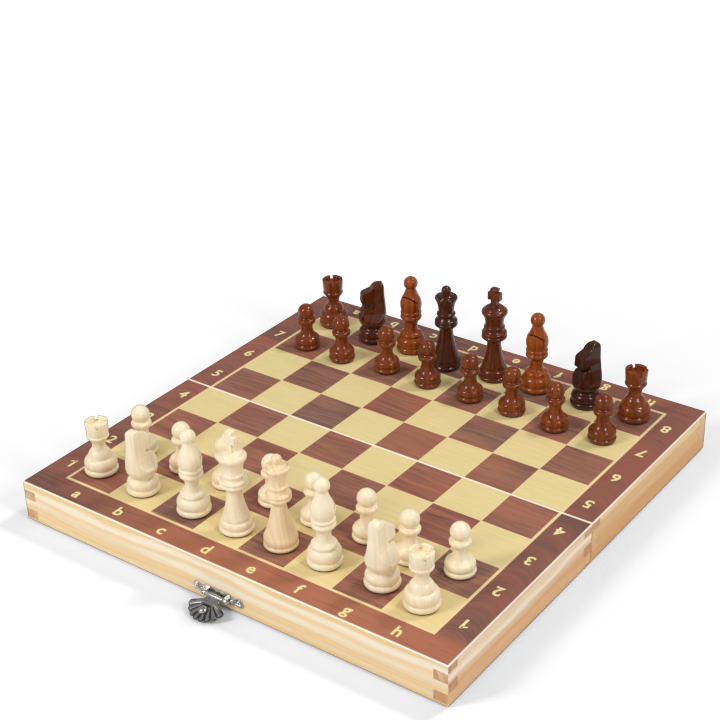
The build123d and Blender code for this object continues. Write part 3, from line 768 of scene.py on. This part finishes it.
def add_men():
    meshes = man_meshes()
    cloth = flock()
    for number, name in enumerate(sorted(men)):
        colour, kind = name.split("_")[:2]
        low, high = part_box(name)
        middle = (low + high) / 2
        turn = (pi if colour == "white" else 0) + radians(looks_aside.get(name, 0))
        place = Matrix.Translation((middle.x, middle.y, low.z)) @ Matrix.Rotation(turn, 4, "Z")
        seed = 1.7 * number
        if colour == "white":
            material = pale_wood(f"{name}_wood", seed, warm_men.get(name, 0.15 + 0.05 * (number % 4)))
        else:
            material = dark_wood(f"{name}_wood", seed, redness[kind] + 0.04 * (number % 4))
        piece(f"{name}_turned", meshes[kind].copy(), name, material, (name,), place)
        reach = bases[kind] / 2 - felt_inset
        outline = [(0, 0), (reach, 0), (reach, felt), (0, felt)]
        pad = lathe("pad", eased(outline, 0.3), 48)
        pad.transform(Matrix.Scale(mm, 4))
        piece(f"{name}_felt", pad, name, cloth, (), place)


# Print on the border
def glyph(letter, size):
    """A letter or number as a flat mesh, centred across with its foot on the X axis, and its height."""
    text = bpy.data.curves.new("glyph", "FONT")
    text.body = letter
    text.size = 1
    text.offset = ink_boldness
    text.extrude = 0.5 * ink / size
    text.align_x = "LEFT"
    thing = bpy.data.objects.new("glyph", text)
    bpy.context.scene.collection.objects.link(thing)
    graph = bpy.context.evaluated_depsgraph_get()
    mesh = bpy.data.meshes.new_from_object(thing.evaluated_get(graph))
    bpy.data.objects.remove(thing)
    mesh.transform(Matrix.Scale(size, 4))
    across = [v.co.x for v in mesh.vertices]
    height = max(v.co.y for v in mesh.vertices)
    mesh.transform(Matrix.Translation((-(min(across) + max(across)) / 2, 0, 0)))
    if letter == "1":
        bar_side = (min(across) - max(across)) / 2
        tip = bar_side - 0.3 * height
        flag = [(0, height), (tip, 0.72 * height), (tip, 0.6 * height), (bar_side, 0.74 * height),
                (0, 0.74 * height)]
        mesh = joined(mesh, prism(flag, ink / 2, "Z"))
    return mesh, height


def add_coordinates():
    """The letters on the end borders and the numbers on the side borders, each half's in one piece."""
    size = ascender / glyph("d", 1)[1]
    numeral_half = glyph("1", size)[1] / 2
    material = gilt_ink()
    for half, sign, body in (("front", -1, "front_half"), ("rear", 1, "rear_half")):
        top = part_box(f"{half}_printed_sheet")[1].z + ink / 2
        work = bmesh.new()
        marks = []
        pitch, aside = front_letters if sign < 0 else back_letters
        for column in range(8):
            x = (column - 3.5) * pitch + aside
            if sign < 0:
                x += middle_letters_aside * (1 - ((column - 3.5) / 3.5) ** 2)
            foot = -letter_foot if sign < 0 else back_letter_foot
            marks.append(("abcdefgh"[column], x, foot, 0 if sign < 0 else pi))
        for row in range(4) if sign < 0 else range(4, 8):
            for side, turn, (pitch, aside) in ((-1, 0, left_numbers), (1, pi, right_numbers)):
                y = (row - 3.5) * pitch + aside
                marks.append((str(row + 1), side * number_line, y + side * numeral_half, turn))
        for letter, x, y, turn in marks:
            mesh = glyph(letter, size)[0]
            mesh.transform(Matrix.Translation((x, y, top)) @ Matrix.Rotation(turn, 4, "Z"))
            work.from_mesh(mesh)
        whole = bpy.data.meshes.new(f"{half}_coordinates")
        work.to_mesh(whole)
        work.free()
        piece(f"{half}_coordinates", whole, body, material)


# Flocked linings
def rounded_ring(low, high, inset, z, radius, corner_steps=6):
    """Points round a rectangle with rounded corners, at one height."""
    x_reach = (high.x - low.x) / 2 - inset - radius
    y_reach = (high.y - low.y) / 2 - inset - radius
    middle = (low + high) / 2
    ring = []
    for corner, (side_x, side_y) in enumerate(((1, 1), (-1, 1), (-1, -1), (1, -1))):
        for step in range(corner_steps + 1):
            angle = (corner + step / corner_steps) * pi / 2
            ring.append((middle.x + side_x * x_reach + radius * cos(angle),
                         middle.y + side_y * y_reach + radius * sin(angle), z))
    return ring


def add_lining(half, body, material):
    """A flocked tray with a rounded mouth and a soft bend where its floor meets its sides."""
    low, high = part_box(f"{half}_lining")
    cloth = 1.0 * mm
    bend = 2.5 * mm
    corner = 2.4 * mm
    mouth = low.z + 0.3 * mm
    floor = high.z - cloth
    levels = [(0, high.z, 1.2 * mm), (0, mouth, 1.2 * mm), (0.3 * mm, low.z, 1.5 * mm),
              (0.7 * mm, low.z, 1.8 * mm), (cloth, mouth, 2.0 * mm), (cloth, floor - bend, corner)]
    bend_steps = 6
    for step in range(1, bend_steps + 1):
        share = step / bend_steps
        angle = share * pi / 2
        inset = cloth + bend * (1 - cos(angle))
        levels.append((inset, floor - bend * (1 - sin(angle)), corner + bend * share))
    rings = [rounded_ring(low, high, inset, z, radius) for inset, z, radius in levels]
    count = len(rings[0])
    vertices = [point for ring in rings for point in ring]
    faces = [tuple(range(count)), tuple(reversed(range(len(vertices) - count, len(vertices))))]
    for level in range(len(rings) - 1):
        for n in range(count):
            after = (n + 1) % count
            first, second = level * count, (level + 1) * count
            faces.append((first + n, second + n, second + after, first + after))
    mesh = mesh_of(f"{half}_flocked_tray", vertices, faces)
    piece(f"{half}_flocked_tray", mesh, body, material, (f"{half}_lining",))


# Hasp flap
flap_length = 16.2
flap_shoulder = 7.0
flap_half_width = 12.0
neck_half_width = 4.6
neck_length = 3.2
flap_thickness = 0.8
flute_height = 0.45
flutes = 8
scallop = 0.8
hasp_rest = 22.0
knob_distance = 10
boss_reach = 10.2
ring_reach = 12.3
bead_past_catch = 3.3 + 3.7
fan_centre = flap_length ** 2 - flap_half_width ** 2 - flap_shoulder ** 2
fan_centre /= 2 * (flap_length - flap_shoulder)
fan_half_angle = atan2(flap_half_width, flap_shoulder - fan_centre)
hasp_axis = Vector(next(joint for joint in frame["joints"] if joint["name"] == "hasp_swing")["pos_m"])


def ray_to_line(angle, first, second):
    """How far a ray from the fan's centre runs to the line through two points of the flap's outline."""
    direction = (sin(angle), -cos(angle))
    side = (second[0] - first[0], second[1] - first[1])
    start = (first[0], first[1] + fan_centre)
    return (start[0] * side[1] - start[1] * side[0]) / (direction[0] * side[1] - direction[1] * side[0])


def flap_reach(angle):
    """The flap's outline about the fan's centre, at an angle from its middle line."""
    turn = abs(angle)
    radius = flap_length - fan_centre
    if turn <= fan_half_angle:
        phase = (angle + fan_half_angle) / (2 * fan_half_angle) * flutes
        return radius - scallop * (1 - abs(sin(pi * phase)))
    radius -= scallop
    corner = (radius * sin(fan_half_angle), -fan_centre - radius * cos(fan_half_angle))
    neck = (neck_half_width, -neck_length)
    neck_angle = atan2(neck[0], -(neck[1] + fan_centre))
    if turn < neck_angle:
        return ray_to_line(turn, corner, neck)
    if turn < atan2(neck_half_width, -fan_centre):
        return neck_half_width / sin(turn)
    return -fan_centre / cos(turn)


def flap_mesh():
    """The fluted fan about its pin, drawn flat along -Y in millimetres."""
    around = 30 * flutes
    out = 22
    angles = [-pi + tau * (n + 0.5) / around for n in range(around)]
    vertices = [(0, -fan_centre, 0.5 * flap_thickness)]
    for level in range(1, out + 1):
        share = level / out
        for angle in angles:
            reach = flap_reach(angle)
            radius = share * reach
            phase = (angle + fan_half_angle) / (2 * fan_half_angle) * flutes
            inside = 1.0 if abs(angle) < fan_half_angle else 0.0
            fade = min(1, max(0, (radius - 2.2) / 2.5))
            edge = min(1, max(0, (reach - radius) / 0.5)) ** 0.5
            flute = inside * fade * abs(sin(pi * phase)) ** 0.8
            z = 0.5 * flap_thickness - 0.25 * (1 - edge) + flute_height * flute * edge
            vertices.append((radius * sin(angle), -fan_centre - radius * cos(angle), z))
    last = len(vertices) - around
    for angle in angles:
        radius = flap_reach(angle)
        vertices.append((radius * sin(angle), -fan_centre - radius * cos(angle), -0.5 * flap_thickness))
    vertices.append((0, -fan_centre, -0.5 * flap_thickness))
    faces = []
    for n in range(around):
        after = (n + 1) % around
        faces.append((0, 1 + n, 1 + after))
        for level in range(out):
            first, second = 1 + level * around, 1 + (level + 1) * around
            faces.append((first + n, second + n, second + after, first + after))
        faces.append((last + around + n, len(vertices) - 1, last + around + after))
    return mesh_of("flap", vertices, faces, 60)


def rod(radius, half_length, rings=()):
    """A bar along X with eased ends; each of rings is a place along it that is grooved."""
    points = [(0, -half_length), (radius, -half_length)]
    for place in rings:
        points += [(radius, place - 0.3), (0.86 * radius, place), (radius, place + 0.3)]
    points += [(radius, half_length), (0, half_length)]
    return turned_tool(lathe("rod", eased(points, 0.2), 40), Matrix.Rotation(pi / 2, 4, "Y"))


def joined(*meshes):
    work = bmesh.new()
    for mesh in meshes:
        work.from_mesh(mesh)
    whole = bpy.data.meshes.new("joined")
    work.to_mesh(whole)
    work.free()
    return whole


def swung(mesh):
    """A flap piece drawn in millimetres about the pin, at its place on the case."""
    tilt = Matrix.Rotation(radians(hasp_rest), 4, "X")
    return turned_tool(mesh, Matrix.Translation(hasp_axis), Matrix.Scale(mm, 4), tilt)


def flap_hollow(s):
    """The dark valleys between the flutes, by their depth under the ridges."""
    _, y, z = s.split(s.place["Object"])
    from_y = s.minus(y, hasp_axis.y)
    from_z = s.minus(z, hasp_axis.z)
    tilt = radians(hasp_rest)
    level = s.plus(s.times(from_y, -sin(tilt)), s.times(from_z, cos(tilt)))
    valley = s.ramp(level, 0.78 * mm, 0.6 * mm)
    out = s.plus(s.times(from_y, -cos(tilt)), s.times(from_z, -sin(tilt)))
    fluted = s.times(s.ramp(out, 5.2 * mm, 6.4 * mm), s.ramp(level, -0.2 * mm, 0.2 * mm))
    return s.times(valley, fluted)


def add_hasp(shiny):
    flap = swung(joined(flap_mesh(), rod(1.5, 5.8, (-4.6, 4.6)),
                        turned_tool(rod(1.0, 3.0), Matrix.Translation((0, -bead_distance(), -0.7)))))
    dull = steel("flap_metal", srgb(196, 196, 198), srgb(150, 150, 152), 0.24, flap_hollow)
    piece("hasp_fan", smoothed(flap, 40), "hasp", dull, ("hasp_flap",))
    knob_outline = [(0, 0.4), (1.6, 0.4), (1.4, 1.1), (2.5, 1.6)] + arc((2.5, 1.6), (2.0, 2.55), (0, 2.85), 8)
    at_knob = Matrix.Translation((0, -knob_distance, 0))
    knob = turned_tool(lathe("knob", eased(knob_outline, 0.15), 40), at_knob)
    stem = turned_tool(lathe("stem", [(0, -0.4), (1.1, -0.4), (1.1, 0.6), (0, 0.6)], 24), at_knob)
    piece("hasp_pull", smoothed(swung(joined(knob, stem)), 40), "hasp", shiny, ("hasp_knob",))
    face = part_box("front_outer_wall")[0].y
    bosses = []
    for side in (-1, 1):
        ball = lathe("boss", [(0, 0)] + [(1.25, 0)] + arc((1.25, 0), (1.0, 0.75), (0, 1.15), 8), 32)
        ring = lathe("ring", [(0, 0), (1.0, 0), (0.95, 0.35), (0.6, 0.4), (0.45, 0.05), (0, 0.05)], 32)
        bosses.append(turned_tool(ball, Matrix.Translation((side * boss_reach, 0, 0))))
        bosses.append(turned_tool(ring, Matrix.Translation((side * ring_reach, 0, 0))))
    plate_front = Vector((0, face - 0.8 * mm, hasp_axis.z))
    whole = turned_tool(joined(*bosses), Matrix.Translation(plate_front), Matrix.Scale(mm, 4),
                        Matrix.Rotation(pi / 2, 4, "X"))
    piece("hasp_plate_bosses", smoothed(whole, 40), "front_half", shiny)


def bead_distance():
    """How far the snap bead lies from the pin, so that it meets the catch when the case is shut."""
    return (hasp_axis.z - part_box("catch_plate")[0].z) / mm + bead_past_catch


# Carried-over nodes
def soften(node, width, segments=2):
    """Eases a CAD node's edges for the eye, with its own mesh left as it is."""
    thing = nodes[node]
    weld = thing.modifiers.new("weld", "WELD")
    weld.merge_threshold = 1e-6
    ease = thing.modifiers.new("ease", "BEVEL")
    ease.width = width
    ease.segments = segments
    ease.limit_method = "ANGLE"
    ease.angle_limit = radians(40)
    ease.harden_normals = True


def paint(node, material):
    data = nodes[node].data
    data.materials.clear()
    data.materials.append(material)


def finish_nodes(shiny):
    cream, honey = srgb(252, 238, 212), srgb(241, 203, 144)
    # The right walls' streak colours are darker: partly the pine's own colour, partly painted shade on the
    # sides turned from the lamps.
    amber_and_shade, brown = srgb(216, 162, 106), srgb(222, 166, 108)
    light = {"front": 0.3, "rear": 5.1}
    deck = panel_wood()
    sheet = board_print()
    plain_steel = steel("sheet_steel", srgb(170, 172, 175), srgb(140, 142, 146), 0.35)
    small_metal = ("hinge_front_leaves", "hinge_rear_leaves", "hinge_pins", "hinge_front_screws",
                   "hinge_rear_screws", "hasp_plate", "hasp_pin", "hasp_screws", "catch_plate",
                   "catch_screws")
    for half in ("front", "rear"):
        long_pine = pine(f"{half}_long_pine", "X", cream, honey, srgb(240, 214, 168), light[half])
        left_pine = pine(f"{half}_left_pine", "Y", cream, honey, srgb(236, 206, 158), light[half] + 1)
        # The right walls' darker streaks, and the rear one's darker ground, are partly the pine's own colour
        # and partly painted shade.
        right_ground = cream if half == "front" else srgb(240, 206, 156)
        right_pine_and_shade = pine(f"{half}_right_pine_and_shade", "Y", right_ground, amber_and_shade, brown, light[half] + 2)
        walls = {"outer_wall": long_pine, "spine_wall": long_pine, "left_wall": left_pine,
                 "right_wall": right_pine_and_shade}
        for wall, material in walls.items():
            paint(f"{half}_{wall}", material)
            soften(f"{half}_{wall}", 0.18 * mm)
        paint(f"{half}_deck_panel", deck)
        paint(f"{half}_steel_sheet", plain_steel)
        paint(f"{half}_printed_sheet", sheet)
    for node in small_metal:
        paint(node, shiny)
    for node in ("hinge_front_leaves", "hinge_rear_leaves", "hasp_plate", "catch_plate"):
        soften(node, 0.12 * mm)


def add_floor():
    """A floor just under the hinges' knuckles that shows only the shadows on it, and white elsewhere."""
    low = -1.2 * mm
    reach = 3.0
    corners = [(-reach, -reach, low), (reach, -reach, low), (reach, reach, low), (-reach, reach, low)]
    floor = bpy.data.objects.new("floor", mesh_of("floor", corners, [(0, 1, 2, 3)]))
    bpy.context.scene.collection.objects.link(floor)
    s = Surface("floor_paper")
    spots = s.noise(s.scaled(40), 1.0, 2)
    s.finish(s.mix(spots, (0.8, 0.8, 0.8, 1), (0.82, 0.82, 0.82, 1)), 0.9)
    floor.data.materials.append(s.material)
    floor.is_shadow_catcher = True


add_camera()
add_world(sky_strength=0.42, mirrored_strength=0.28)
add_lamp("left_window", (-0.5, -1.0, 0.85), (0.3, 0.45), 8)
add_lamp("right_window", (0.95, -0.2, 0.8), (0.25, 0.4), 4)
add_lamp("back_lamp", (0.33, 0.56, 1.13), (0.16, 0.16), 4.5)
bpy.context.scene.view_settings.view_transform = "Standard"
add_floor()

nickel = steel("nickel", srgb(214, 214, 214), srgb(176, 176, 178), 0.16)
finish_nodes(nickel)
add_coordinates()
lining_cloth = flock()
add_lining("front", "front_half", lining_cloth)
add_lining("rear", "rear_half", lining_cloth)
add_hasp(nickel)
add_men()
